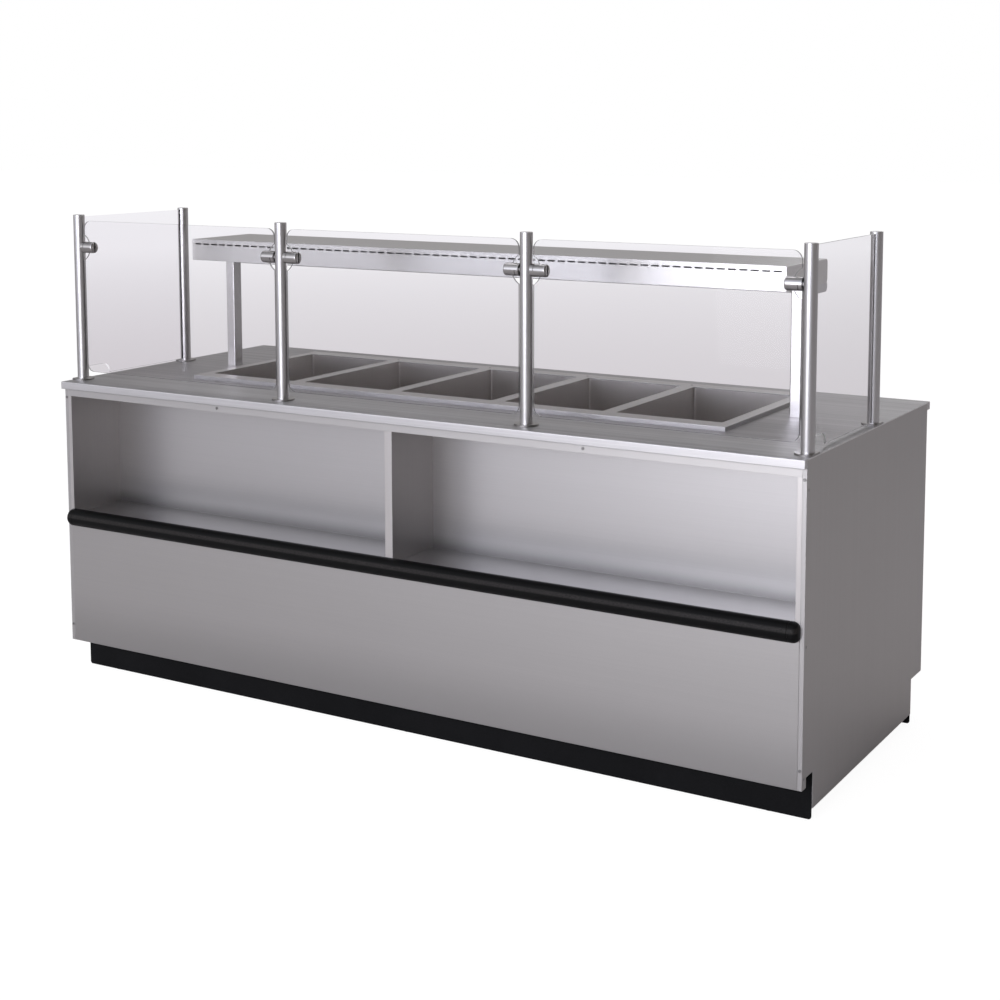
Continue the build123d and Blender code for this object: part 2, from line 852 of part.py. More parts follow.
# Cable gland: a nut on the cabinet floor, a barrel through it and a dome under it
with BuildPart() as cable_gland:
    with BuildSketch(level(floor_top)):
        with Locations((gland_x, well_mid)):
            RegularPolygon(gland_nut_r, 6)
    extrude(amount=gland_nut)
    with BuildSketch(level(floor_top)):
        with Locations((gland_x, well_mid)):
            Circle(gland_body_r)
    extrude(amount=-(skin + gland_drop))
    fillet(cable_gland.faces().sort_by(Axis.Z)[0].edges(), (gland_body_r - gland_bore_r) / 2)
    with BuildSketch(level(floor_top + gland_nut)):
        with Locations((gland_x, well_mid)):
            Circle(gland_bore_r)
    extrude(amount=-(gland_nut + skin + gland_drop), mode=Mode.SUBTRACT)
write(cable_gland, "cable_gland")

# Door mullion: an upright between the two pairs of doors
track_near = control_face - track_deep
bay_in = mullion_width / 2
bay_out = inner_half
with BuildPart() as door_mullion:
    block((-bay_in, bay_in), (track_near, control_face), (floor_top, control_under))
    block(
        (-bay_in + skin, bay_in - skin),
        (track_near, control_face - skin),
        (floor_top, control_under),
        mode=Mode.SUBTRACT,
    )
write(door_mullion, "door_mullion")

# Door tracks: grooved strips on the floor and under the control panel, two for each bay
groove_nears = [track_near + track_rib + i * (track_groove + track_rib) for i in range(2)]
with BuildPart() as door_tracks:
    for side in (-1, 1):
        bay = sorted((side * bay_in, side * bay_out))
        low_ribs = floor_top + track_base + track_low_rib
        top_ribs = control_under - track_base - track_top_rib
        block(bay, (track_near, control_face), (floor_top, low_ribs))
        block(bay, (track_near, control_face), (top_ribs, control_under))
        for near in groove_nears:
            groove = (near, near + track_groove)
            block(bay, groove, (floor_top + track_base, low_ribs), mode=Mode.SUBTRACT)
            block(bay, groove, (top_ribs, control_under - track_base), mode=Mode.SUBTRACT)
write(door_tracks, "door_tracks")

# Sliding doors: folded pans with a finger cup, the end doors running outside the middle ones
bay_width = bay_out - bay_in
door_width = bay_width / 2 + door_overlap
door_under = floor_top + track_base + door_lift
door_top = control_under - track_base - door_head_room
door_mid_z = (door_under + door_top) / 2
outer_near = groove_nears[1] + door_side_gap
inner_near = groove_nears[0] + door_side_gap
end_door = (bay_out - door_end_gap - door_width, bay_out - door_end_gap)
mid_door = (bay_in + door_end_gap, bay_in + door_end_gap + door_width)
door_places = [
    (-end_door[1], -end_door[0], outer_near, -end_door[1] + pull_inset),
    (-mid_door[1], -mid_door[0], inner_near, -mid_door[0] - pull_inset),
    (mid_door[0], mid_door[1], inner_near, mid_door[0] + pull_inset),
    (end_door[0], end_door[1], outer_near, end_door[1] - pull_inset),
]
for number, (left, right, near, pull_x) in enumerate(door_places, start=1):
    far = near + door_thick
    with BuildPart() as door:
        block((left, right), (near, far), (door_under, door_top))
        block(
            (left + skin, right - skin),
            (near, far - skin),
            (door_under + skin, door_top - skin),
            mode=Mode.SUBTRACT,
        )
        with BuildSketch(upright(far - pull_deep - skin)):
            with Locations((pull_x, door_mid_z)):
                SlotOverall(pull_height + 2 * skin, pull_width + 2 * skin, rotation=90)
        extrude(amount=-(pull_deep + skin))
        with BuildSketch(upright(far)):
            with Locations((pull_x, door_mid_z)):
                SlotOverall(pull_height, pull_width, rotation=90)
        extrude(amount=pull_deep, mode=Mode.SUBTRACT)
    write(door, f"sliding_door_{number}")

# Guard posts: four tubes along the front and two behind, slotted for the end glasses
end_glass_under = counter_height + end_glass_foot_gap
end_glass_top = guard_top - end_glass_top_drop
slot_half = glass_thick / 2 + end_glass_slot_fit
rear_post_xs = (-post_end_x, post_end_x)
post_spots = [(x, post_row) for x in post_xs] + [(x, rear_row) for x in rear_post_xs]
with BuildPart() as guard_posts:
    with BuildSketch(level(counter_height)):
        with Locations(*post_spots):
            Circle(post_r)
    extrude(amount=post_height)
    fillet(guard_posts.faces().filter_by(Axis.Z).group_by(Axis.Z)[-1].edges(), edge_round)
    with BuildSketch(level(counter_height)):
        with Locations(*post_spots):
            Circle(post_r - post_wall)
    extrude(amount=post_height - post_cap, mode=Mode.SUBTRACT)
    for x in rear_post_xs:
        slot = (x - slot_half, x + slot_half)
        slot_z = (end_glass_under - end_glass_slot_fit, end_glass_top + end_glass_slot_fit)
        block(slot, (post_row, post_row + post_r), slot_z, mode=Mode.SUBTRACT)
        block(slot, (rear_row - post_r, rear_row), slot_z, mode=Mode.SUBTRACT)
write(guard_posts, "guard_posts")

# Post flanges: rings on the worktop round the posts, cut flush with its ends
with BuildPart() as post_flanges:
    with BuildSketch(level(counter_height)):
        with Locations(*post_spots):
            Circle(flange_r)
    extrude(amount=flange_thick)
    chamfer(post_flanges.faces().filter_by(Axis.Z).group_by(Axis.Z)[-1].edges(), flange_chamfer)
    with BuildSketch(level(counter_height)):
        with Locations(*post_spots):
            Circle(post_r)
    extrude(amount=flange_thick, mode=Mode.SUBTRACT)
    for side in (-1, 1):
        beyond = sorted((side * half, side * (half + flange_r)))
        flange_z = (counter_height, counter_height + flange_thick)
        block(beyond, (-front_overhang, cabinet_depth), flange_z, mode=Mode.SUBTRACT)
write(post_flanges, "post_flanges")

# Pivot pins: stubs on the front posts that the glass clamps turn on
bays = list(zip(post_xs[:-1], post_xs[1:]))
clamp_spots = [spot for left, right in bays for spot in ((left, 1), (right, -1))]
with BuildPart() as pivot_pins:
    for x, way in clamp_spots:
        with BuildSketch(across(x)):
            with Locations((post_row, pivot_z)):
                Circle(pin_r)
        extrude(amount=way * pin_reach)
    with BuildSketch(level(counter_height)):
        with Locations(*[(x, post_row) for x in post_xs]):
            Circle(post_r)
    extrude(amount=post_height, mode=Mode.SUBTRACT)
write(pivot_pins, "pivot_pins")


def pivot_plane(x):
    """Plane across the counter, centred on the axis that the front glasses turn about."""
    return Plane(origin=at(x, post_row, pivot_z), x_dir=(0, 1, 0), z_dir=(1, 0, 0))


# Front glasses and the pair of clamps that holds each one
glass_under = counter_height + glass_foot_gap
glass_top = guard_top - glass_top_drop
grip_from = (notch_r**2 - clamp_r**2) ** 0.5 - pin_end_gap / 2
for (left, right), name in zip(bays, ("left", "centre", "right")):
    with BuildPart() as glass_clamps:
        for x, way in ((left, 1), (right, -1)):
            inner_end = x + way * (post_r + clamp_post_gap)
            outer_end = x + way * clamp_reach
            with BuildSketch(pivot_plane(inner_end)):
                Circle(clamp_r)
            extrude(amount=outer_end - inner_end)
            end_spot = at(outer_end, post_row, pivot_z)
            end_face = glass_clamps.faces().filter_by(Axis.X).sort_by_distance(end_spot)[0]
            fillet(end_face.edges(), clamp_round)
            with BuildSketch(pivot_plane(inner_end)):
                Circle(pin_r + running_fit)
            extrude(amount=x + way * (pin_reach + pin_end_gap) - inner_end, mode=Mode.SUBTRACT)
            block(
                sorted((x + way * grip_from, outer_end)),
                (post_row - glass_thick / 2 - clamp_grip_fit, post_row + glass_thick / 2 + clamp_grip_fit),
                (pivot_z - clamp_r, pivot_z + clamp_r),
                mode=Mode.SUBTRACT,
            )
            slit_start = x + way * (slit_at - slit_width / 2)
            with BuildSketch(pivot_plane(slit_start)):
                Circle(clamp_r)
                Circle(clamp_r - slit_deep, mode=Mode.SUBTRACT)
                with Locations((-clamp_r / 2, way * clamp_r / 2)):
                    Rectangle(clamp_r, clamp_r, mode=Mode.INTERSECT)
            extrude(amount=way * slit_width, mode=Mode.SUBTRACT)
    write(glass_clamps, f"glass_clamps_{name}")

    with BuildPart() as front_glass:
        with BuildSketch(upright(post_row + glass_thick / 2)):
            with Locations(((left + right) / 2, (glass_under + glass_top) / 2)):
                RectangleRounded(right - left - 2 * glass_edge, glass_top - glass_under, glass_corner)
            with Locations((left, pivot_z), (right, pivot_z)):
                Circle(notch_r, mode=Mode.SUBTRACT)
        extrude(amount=glass_thick)
    write(front_glass, f"front_glass_{name}")

# End glasses: panes in the post slots, cut away over the front flange
end_near = post_row + end_glass_bite
end_far = rear_row - end_glass_bite
with BuildPart() as end_glasses:
    for x in rear_post_xs:
        with BuildSketch(across(x - glass_thick / 2)):
            with Locations(((end_near + end_far) / 2, (end_glass_under + end_glass_top) / 2)):
                RectangleRounded(end_far - end_near, end_glass_top - end_glass_under, end_glass_corner)
            with Locations((post_row, counter_height)):
                RectangleRounded(2 * end_cut_length, 2 * end_cut_height, end_cut_round, mode=Mode.SUBTRACT)
        extrude(amount=glass_thick)
write(end_glasses, "end_glasses")

# Shelf supports: two rectangular tubes on the worktop beside the well rim
support_mid = support_at + support_deep / 2
with BuildPart() as shelf_supports:
    for x in (-support_x, support_x):
        with BuildSketch(level(counter_height)):
            with Locations((x, support_mid)):
                RectangleRounded(support_width, support_deep, support_round)
                offset(amount=-support_wall, mode=Mode.SUBTRACT)
        extrude(amount=shelf_under - counter_height)
write(shelf_supports, "shelf_supports")


def shelf_outline(inset=0):
    """Shelf section with a square front and a rounded back, drawn in a sketch across the counter."""
    with Locations(((shelf_front + shelf_back) / 2, (shelf_under + shelf_top) / 2)):
        return Rectangle(shelf_deep - 2 * inset, shelf_height - 2 * inset)


# Overhead shelf: a folded box section with a row of vents along its front
body_half = shelf_half - shelf_cap
with BuildPart() as overhead_shelf:
    with BuildSketch(across(-body_half)) as section:
        shelf_outline()
        fillet(section.vertices().group_by(Axis.X)[-1], shelf_rear_round)
    extrude(amount=2 * body_half)
    with BuildSketch(across(-body_half)) as hollow:
        shelf_outline(skin)
        fillet(hollow.vertices().group_by(Axis.X)[-1], shelf_rear_round - skin)
    extrude(amount=2 * body_half, mode=Mode.SUBTRACT)
    with BuildSketch(upright(shelf_front)):
        with Locations((0, shelf_top - vent_drop)):
            with GridLocations(vent_pitch, 1, vent_count, 1):
                SlotOverall(vent_length, vent_height)
    extrude(amount=-skin, mode=Mode.SUBTRACT)
write(overhead_shelf, "overhead_shelf")

# Shelf end caps: plates of the same section
with BuildPart() as shelf_end_caps:
    for start in (-shelf_half, body_half):
        with BuildSketch(across(start)) as cap:
            shelf_outline()
            fillet(cap.vertices().group_by(Axis.X)[-1], shelf_rear_round)
        extrude(amount=shelf_cap)
write(shelf_end_caps, "shelf_end_caps")

# Heat strip housing: a trough under the back of the shelf, open downwards
heat_near = shelf_back - heat_width
heat_under = shelf_under - heat_drop
heat_mid = heat_near + heat_width / 2
with BuildPart() as heat_strip_housing:
    block((-shelf_half, shelf_half), (heat_near, shelf_back), (heat_under, shelf_under))
    fillet(heat_strip_housing.edges().filter_by(Axis.X).group_by(Axis.Z)[0], heat_round)
    block(
        (-shelf_half + heat_wall, shelf_half - heat_wall),
        (heat_near + heat_wall, shelf_back - heat_wall),
        (heat_under + heat_round, shelf_under - heat_wall),
        mode=Mode.SUBTRACT,
    )
    block(
        (-shelf_half + heat_wall, shelf_half - heat_wall),
        (heat_mid - heat_window / 2, heat_mid + heat_window / 2),
        (heat_under, shelf_under - heat_wall),
        mode=Mode.SUBTRACT,
    )
write(heat_strip_housing, "heat_strip_housing")

# Heater rods: two sheathed rods between the housing's ends
rod_half = shelf_half - heat_wall
rod_z = (heat_under + shelf_under) / 2
with BuildPart() as heater_rods:
    with BuildSketch(across(-rod_half)):
        with Locations((heat_mid - rod_spread / 2, rod_z), (heat_mid + rod_spread / 2, rod_z)):
            Circle(rod_r)
    extrude(amount=2 * rod_half)
write(heater_rods, "heater_rods")

# Panel screws: raised heads on the rail and the stiles, flush heads in the end panels
with BuildPart() as panel_screws:
    front_spots = [(x, rail_mid_z) for x in rail_screw_xs]
    front_spots += [(side * (half - end_thick / 2), z) for side in (-1, 1) for z in stile_screw_zs]
    with BuildSketch(upright(0)):
        with Locations(*front_spots):
            Circle(screw_head_r)
    extrude(amount=screw_head)
    with BuildSketch(upright(0)):
        with Locations(*front_spots):
            Circle(screw_r)
    extrude(amount=-screw_length)
    for side in (-1, 1):
        for radius, reach in ((screw_head_r, flush_head), (screw_r, screw_length)):
            with BuildSketch(across(side * half)):
                with Locations(*end_screw_spots):
                    Circle(radius)
            extrude(amount=-side * reach)
write(panel_screws, "panel_screws")
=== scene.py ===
import json
from math import cos, pi, radians, sin

import bmesh
import bpy
from mathutils import Matrix, Vector


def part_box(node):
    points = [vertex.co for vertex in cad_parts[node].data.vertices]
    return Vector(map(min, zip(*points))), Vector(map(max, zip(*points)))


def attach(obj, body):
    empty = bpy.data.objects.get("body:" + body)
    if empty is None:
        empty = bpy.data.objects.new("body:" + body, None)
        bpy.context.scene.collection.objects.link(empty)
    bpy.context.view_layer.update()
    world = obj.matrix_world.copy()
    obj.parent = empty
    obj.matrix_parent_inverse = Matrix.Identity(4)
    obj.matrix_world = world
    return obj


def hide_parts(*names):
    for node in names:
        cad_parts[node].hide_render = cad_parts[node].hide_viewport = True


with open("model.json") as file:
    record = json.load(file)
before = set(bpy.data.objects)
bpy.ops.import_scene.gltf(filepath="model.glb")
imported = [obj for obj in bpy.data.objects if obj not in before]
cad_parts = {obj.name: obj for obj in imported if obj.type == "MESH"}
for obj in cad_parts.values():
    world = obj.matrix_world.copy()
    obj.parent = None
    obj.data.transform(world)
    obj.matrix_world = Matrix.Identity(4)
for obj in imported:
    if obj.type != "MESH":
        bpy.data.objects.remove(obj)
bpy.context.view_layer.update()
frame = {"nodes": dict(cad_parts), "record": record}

# Metres. X runs along the counter, Y from the customer to the operator, Z up from the floor.
scene = bpy.context.scene
nodes = frame["nodes"]
mm = 0.001
frontward = Vector((0, -1, 0))
rearward = Vector((0, 1, 0))
upward = Vector((0, 0, 1))

# Camera, matched to the photo's straight edges
camera_place = (2.6274, -4.2235, 1.7162)
camera_turn = (83.822, 0.04, 30.434)
camera_lens = 61.394
camera_sensor = 36
camera_shift = (-0.0208, -0.1977)

# Studio: a soft light in front, a rear light and a light overhead
softbox_place = (0.1, -5.3, 1.6)
softbox_target = (0, 0, 0.85)
softbox_size = (2.8, 2.6)
softbox_glow = 3.3
rear_place = (1.0, 5.4, 3.3)
rear_target = (0, 0, 0.9)
rear_size = (5, 1.4)
rear_power = 18
overhead_place = (-0.6, 0.9, 3.6)
overhead_target = (-0.2, 0.3, 0.9)
overhead_size = (3.6, 1.6)
overhead_power = 34
light_colour = (0.95, 0.96, 1.0)

# Room: its light by the angle from straight in front, positive to the right, and by height from level (0)
# to overhead (1)
room_by_azimuth = [
    (-180, 0.48), (-140, 0.52), (-100, 0.4), (-72, 0.9), (-50, 1.45), (-38, 1.75), (-28, 2.2), (-15, 2.9),
    (0, 2.8), (14, 2.8), (30, 1.2), (46, 0.3), (60, 0.15), (100, 0.24), (135, 0.44), (180, 0.48),
]
room_by_height = [(0, 1.0), (0.3, 1.0), (0.5, 0.6), (0.8, 0.4), (1, 0.4)]
room_glare = 2
room_bright = 0.8
room_dim = 0.3
room_blue = (0.935, 0.975, 1.115)
room_cool = (0.975, 0.985, 1.035)
room_plain = (1.015, 0.99, 0.99)
room_warm = (1.06, 0.99, 0.93)
room_seen = (1.0, 1.0, 1.0)

# Floor and backdrop: white to the eye, greyer where they are seen through the glass
floor_reach = 40
floor_tone = (0.65, 0.622, 0.606)
floor_rough = 0.9
floor_gloss = 0.1
floor_glow = 1.26
floor_glow_share = 0.75
glass_view_near = 5.5
glass_view_far = 18
glass_view_low = (0.82, 0.79, 0.82)
glass_view_high = (1.12, 1.11, 1.14)

# Places read from the frame
well_count = 5
well_xs = [sum(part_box(f"well_pan_{i + 1}")[end].x for end in (0, 1)) / 2 for i in range(well_count)]
well_pitch = well_xs[1] - well_xs[0]
rim_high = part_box("well_rim")[1]
bumper_low, bumper_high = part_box("bumper_rail")
niche_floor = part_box("niche_sides")[0].z
rail_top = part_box("niche_rail")[1].z
panel_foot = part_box("front_lower_panel")[0].z
panel_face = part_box("control_panel")[1].y
glass_low, glass_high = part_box("front_glass_left")
glass_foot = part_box("end_glasses")[0].z

# Bumper cover
bumper_end_round = 17 * mm
bumper_seam_at = 26 * mm
bumper_seam_half = 0.6 * mm
bumper_seam_deep = 1 * mm
bumper_arc_steps = 24
bumper_end_steps = 9

# Screw heads: the recess's arms are shares of the head's radius
head_sides = 28
head_ease = 0.5 * mm
head_deep = 1.6 * mm
recess_deep = 1 * mm
recess_arm = 0.58
recess_half = 0.15
screw_spread = 16 * mm
rim_screw_r = 4 * mm
rim_screw_in = 28 * mm
rim_screw_rise = 0.8 * mm

# Control panel details
dial_step = 30
dial_numbers = 10
tick_from = 22.5 * mm
tick_length = 2.6 * mm
tick_width = 0.9 * mm
ink_thick = 0.2 * mm
digit_at = 29.5 * mm
digit_size = 6.4 * mm
pointer_from = 5 * mm
pointer_length = 10 * mm
pointer_width = 1.8 * mm
lamp_spread = 100 * mm
ring_sides = 36
bezel_r = 9.4 * mm
bezel_side = 1.1 * mm
bezel_shoulder = (8.8 * mm, 1.9 * mm)
bezel_crest = (7.9 * mm, 2.1 * mm)
bezel_lip = 1.5 * mm
bezel_bore = 7.15 * mm
mark_length = 4.2 * mm
mark_width = 1 * mm
mark_ring = 2.1 * mm
rocker_facing = 0.8
sharp_angle = 35

# Brushed metal: noise cells to the metre, shares of its contrast, and the ends of its ramps
grain_along = 0.9
grain_fine = 420
grain_wide = 55
grain_detail = 3.0
grain_rough = 0.6
grain_bump = 0.05
grain_deep = 0.2 * mm
cloud_scale = 2.3
cloud_detail = 3.0
cloud_share = 0.6
band_share = 0.5
tone_swing = 0.5
sheen_range = (0.4, 0.6)
sheen_swing = 0.03
square_range = (0.6, 0.9)
# Edges: where they take their own shade of wear and painted highlight, and where it turns to the ends'
# painted shade
bend_range = (0.75, 0.99)
endward_range = (0.2, 0.6)
bevel_samples = 4

# Moulded and coated surfaces
speckle_detail = 2.0
speckle_deep = 0.15 * mm
speckle_range = (0.3, 0.7)
speckle_rough = 0.06
smear_scale = 6
smear_detail = 3.0
smear_share = 0.6

# Bumper vinyl: how far up the faces of its band of painted sheen look, and the mottling in it
vinyl_grit = 700
vinyl_bump = 0.2
vinyl_gloss = 0.1
vinyl_rough = (0.36, 0.48)
sheen_patch_scale = (260, 600, 600)
sheen_patch_detail = 4.0
sheen_patch_rough = 0.65
sheen_patch_range = (0.3, 0.7)
painted_sheen_band = [(0.0, 0.0), (0.12, 1.0), (0.42, 1.0), (0.56, 0.0)]

# Glass: an index low enough that the lights don't veil it
glass_ior = 1.12
glass_ground = 0.6
haze_scale = 5
haze_detail = 3.0
haze_swing = 0.03
foot_shadow = 15 * mm

# Lamp lens
lens_scale = 700
lens_detail = 1.0
lens_range = (0.3, 0.7)
lens_tones = (0.8, 1.15)
lens_rough = 0.12
lens_clear = 0.35
lens_coat = 0.4

# Insulation
fibre_scale = (160, 900, 160)
fibre_detail = 6.0
fibre_tangle = 0.7
fibre_range = (0.3, 0.7)
fibre_rough = 0.95
fibre_bump = 0.6
fibre_deep = 2 * mm


def add_camera():
    """The photo's camera."""
    data = bpy.data.cameras.new("camera")
    data.lens = camera_lens
    data.sensor_width = camera_sensor
    data.shift_x, data.shift_y = camera_shift
    camera = bpy.data.objects.new("camera", data)
    camera.location = camera_place
    camera.rotation_euler = [radians(turn) for turn in camera_turn]
    scene.collection.objects.link(camera)
    scene.camera = camera


class Graph:
    """One node tree, with short calls to add and join its nodes."""

    def __init__(self, tree):
        self.tree = tree

    def add(self, kind, **values):
        """New node; a value sets the node's own property, or else the input of that name."""
        node = self.tree.nodes.new("ShaderNode" + kind)
        for name, value in values.items():
            if hasattr(node, name):
                setattr(node, name, value)
            else:
                self.put(node, name.replace("_", " "), value)
        return node

    def put(self, node, name, value):
        """Link a socket into an input, or set the input's constant."""
        socket = node.inputs[name]
        if isinstance(value, bpy.types.NodeSocket):
            self.tree.links.new(value, socket)
        else:
            socket.default_value = value

    def math(self, operation, first, second=0.0, third=0.0):
        """Result of one sum."""
        node = self.add("Math", operation=operation)
        for place, value in enumerate((first, second, third)):
            self.put(node, place, value)
        return node.outputs[0]

    def swing(self, value, amount, base):
        """A noise value swung about a base by an amount."""
        return self.math("MULTIPLY_ADD", self.math("SUBTRACT", value, 0.5), amount, base)

    def spread(self, value, start, stop, low=0.0, high=1.0):
        """A value's range mapped onto another."""
        node = self.add("MapRange", Value=value, From_Min=start, From_Max=stop, To_Min=low, To_Max=high)
        return node.outputs["Result"]

    def ramp(self, factor, stops, interpolation="LINEAR"):
        """Colour from a ramp of (place, colour or grey) stops."""
        node = self.add("ValToRGB", Fac=factor)
        node.color_ramp.interpolation = interpolation
        elements = node.color_ramp.elements
        while len(elements) < len(stops):
            elements.new(0.5)
        for element, (place, colour) in zip(elements, stops):
            element.position = place
            element.color = (*colour, 1) if hasattr(colour, "__len__") else (colour, colour, colour, 1)
        return node.outputs["Color"]

    def mix(self, factor, first, second):
        """Colour between two."""
        node = self.add("Mix", data_type="RGBA")
        for place, value in ((0, factor), (6, first), (7, second)):
            self.put(node, place, (*value, 1) if isinstance(value, tuple) else value)
        return node.outputs[2]

    def own(self, kind):
        """X, Y and Z of the piece's own coordinates or normal, or of the world's direction."""
        node = self.add("SeparateXYZ")
        self.put(node, 0, self.add("TexCoord").outputs[kind])
        return node.outputs

    def noise(self, scale, detail=2.0, rough=0.5):
        """Noise in the piece's own coordinates, with a scale on each axis."""
        mapping = self.add("Mapping", Vector=self.add("TexCoord").outputs["Object"], Scale=scale)
        node = self.add("TexNoise", Scale=1.0, Detail=detail, Roughness=rough)
        self.put(node, "Vector", mapping.outputs["Vector"])
        return node.outputs["Fac"]

    def scaled(self, colour, factor):
        """A colour times a factor."""
        node = self.add("VectorMath", operation="SCALE")
        self.put(node, 0, colour)
        self.put(node, "Scale", factor)
        return node.outputs[0]

    def bump(self, shader, height, strength, distance, normal=None):
        """Raise the shader's surface by a height."""
        node = self.add("Bump", Strength=strength, Distance=distance, Height=height)
        if normal:
            self.put(node, "Normal", normal)
        self.put(shader, "Normal", node.outputs["Normal"])


def new_material(name):
    """Material with its graph and its shader."""
    material = bpy.data.materials.new(name)
    material.use_nodes = True
    return material, Graph(material.node_tree), material.node_tree.nodes["Principled BSDF"]


def set_surface(material, graph, shader):
    """Show another shader in place of the material's first one."""
    graph.put(material.node_tree.nodes["Material Output"], "Surface", shader.outputs["Shader"])


def shade(colour, factor):
    """A colour made lighter or darker."""
    return tuple(part * factor for part in colour)


def shades_of(colour, ends, factors):
    """Ramp stops with shades of a colour."""
    return [(end, shade(colour, factor)) for end, factor in zip(ends, factors)]


def grain(graph, axis, across):
    """Long streaks along one axis, so many to the metre across it."""
    return graph.noise([grain_along if name == axis else across for name in "xyz"], grain_detail, grain_rough)


def square_to(graph, axis):
    """How squarely a face looks along an axis, one way or the other."""
    return graph.math("ABSOLUTE", graph.own("Normal")[axis])


def soft_edges(graph, tone, colour, radius, edge_wear_and_highlight):
    """Normal that rounds the edges, and the tone with its edges in a shade of their own, part wear and part
    painted highlight, with a second, painted shade at the ends.
    """
    rounded = graph.add("Bevel", samples=bevel_samples, Radius=radius).outputs["Normal"]
    bend = graph.add("VectorMath", operation="DOT_PRODUCT")
    graph.put(bend, 0, rounded)
    graph.put(bend, 1, graph.add("NewGeometry").outputs["True Normal"])
    edge_share = graph.ramp(bend.outputs["Value"], list(zip(bend_range, (1.0, 0.0))))
    lean = graph.add("SeparateXYZ")
    graph.put(lean, 0, rounded)
    endward = graph.math("ABSOLUTE", lean.outputs["X"])
    # edges take their own shade, part wear and part painted highlight, and a second, painted shade towards
    # the counter's ends
    wear_and_sheen = graph.ramp(endward, shades_of(colour, endward_range, edge_wear_and_highlight))
    return rounded, graph.mix(edge_share, tone, wear_and_sheen)


def brushed_metal(
    name, colour, roughness, axis="x", contrast=0.07, bands=0.0, edge=0.8 * mm, edge_wear_and_highlight=(1.08, 1.08),
    cross="Z", cross_painted_shading=1.0, cross_matt=0.0, painted_shade=None,
):
    """Brushed metal: streaks and bands along an axis, clouds and soft edges.

    Faces square to the cross axis can have another tone, painted light or shade for how the light falls on
    them, and be more matt. The other faces can take a painted shade, darkest at one height and clear of it
    after a reach.
    """
    material, graph, shader = new_material(name)
    fine = grain(graph, axis, grain_fine)
    wide = grain(graph, axis, grain_wide)
    cloud = graph.noise([cloud_scale] * 3, cloud_detail)
    streaks = graph.swing(fine, contrast, 0.5)
    banded = graph.swing(wide, contrast * band_share + bands, streaks)
    clouded = graph.swing(cloud, contrast * cloud_share, banded)
    even = graph.ramp(clouded, shades_of(colour, (0.0, 0.5, 1.0), (1 - tone_swing, 1, 1 + tone_swing)))
    rough = graph.spread(clouded, *sheen_range, roughness + sheen_swing, roughness - sheen_swing)
    tone = even
    # painted shade: darker at one height, fading to the plain tone over a reach
    if painted_shade:
        height, reach, darkest = painted_shade
        clear = graph.spread(graph.own("Object")["Z"], height, height + reach)
        tone = graph.mix(graph.ramp(clear, [(0.0, 0.0), (1.0, 1.0)], "EASE"), shade(colour, darkest), tone)
    # painted light or shade: faces square to the cross axis made lighter or darker for how light falls on
    # them
    if cross_painted_shading != 1.0:
        crossing = graph.ramp(square_to(graph, cross), list(zip(square_range, (0.0, 1.0))))
        tone = graph.mix(crossing, tone, graph.scaled(even, cross_painted_shading))
        if cross_matt:
            rough = graph.math("MULTIPLY_ADD", crossing, cross_matt, rough)
    rounded = None
    if edge:
        rounded, tone = soft_edges(graph, tone, colour, edge, edge_wear_and_highlight)
    graph.put(shader, "Base Color", tone)
    graph.put(shader, "Metallic", 1.0)
    graph.put(shader, "Roughness", rough)
    graph.bump(shader, fine, grain_bump, grain_deep, rounded)
    return material


def speckled(name, colour, roughness, scale=900, contrast=0.25, bump=0.15, gloss=0.5):
    """Moulded or coated surface: fine speckle in colour, gloss and bump, with fainter smears."""
    material, graph, shader = new_material(name)
    grit = graph.noise([scale] * 3, speckle_detail)
    mixed = graph.swing(graph.noise([smear_scale] * 3, smear_detail), smear_share, grit)
    tones = shades_of(colour, speckle_range, (1 - contrast, 1 + contrast))
    graph.put(shader, "Base Color", graph.ramp(mixed, tones))
    graph.put(shader, "Specular IOR Level", gloss)
    rough = graph.spread(mixed, 0, 1, roughness - speckle_rough, roughness + speckle_rough)
    graph.put(shader, "Roughness", rough)
    graph.bump(shader, grit, bump, speckle_deep)
    return material


def scuffed_vinyl(name, colour, painted_sheen_tint):
    """Black vinyl with a fine grain, and a mottled brown-grey painted sheen in a band over its nose."""
    material, graph, shader = new_material(name)
    grit = graph.noise([vinyl_grit] * 3, speckle_detail)
    patches = graph.noise(sheen_patch_scale, sheen_patch_detail, sheen_patch_rough)
    # painted sheen: brown-grey mottling on faces that look a little upward, over the nose
    band = graph.ramp(graph.own("Normal")["Z"], painted_sheen_band)
    wear_and_sheen = graph.math("MULTIPLY", graph.spread(patches, *sheen_patch_range), band)
    graph.put(shader, "Base Color", graph.mix(wear_and_sheen, colour, painted_sheen_tint))
    graph.put(shader, "Specular IOR Level", vinyl_gloss)
    graph.put(shader, "Roughness", graph.spread(grit, 0, 1, *vinyl_rough))
    graph.bump(shader, grit, vinyl_bump, speckle_deep)
    return material


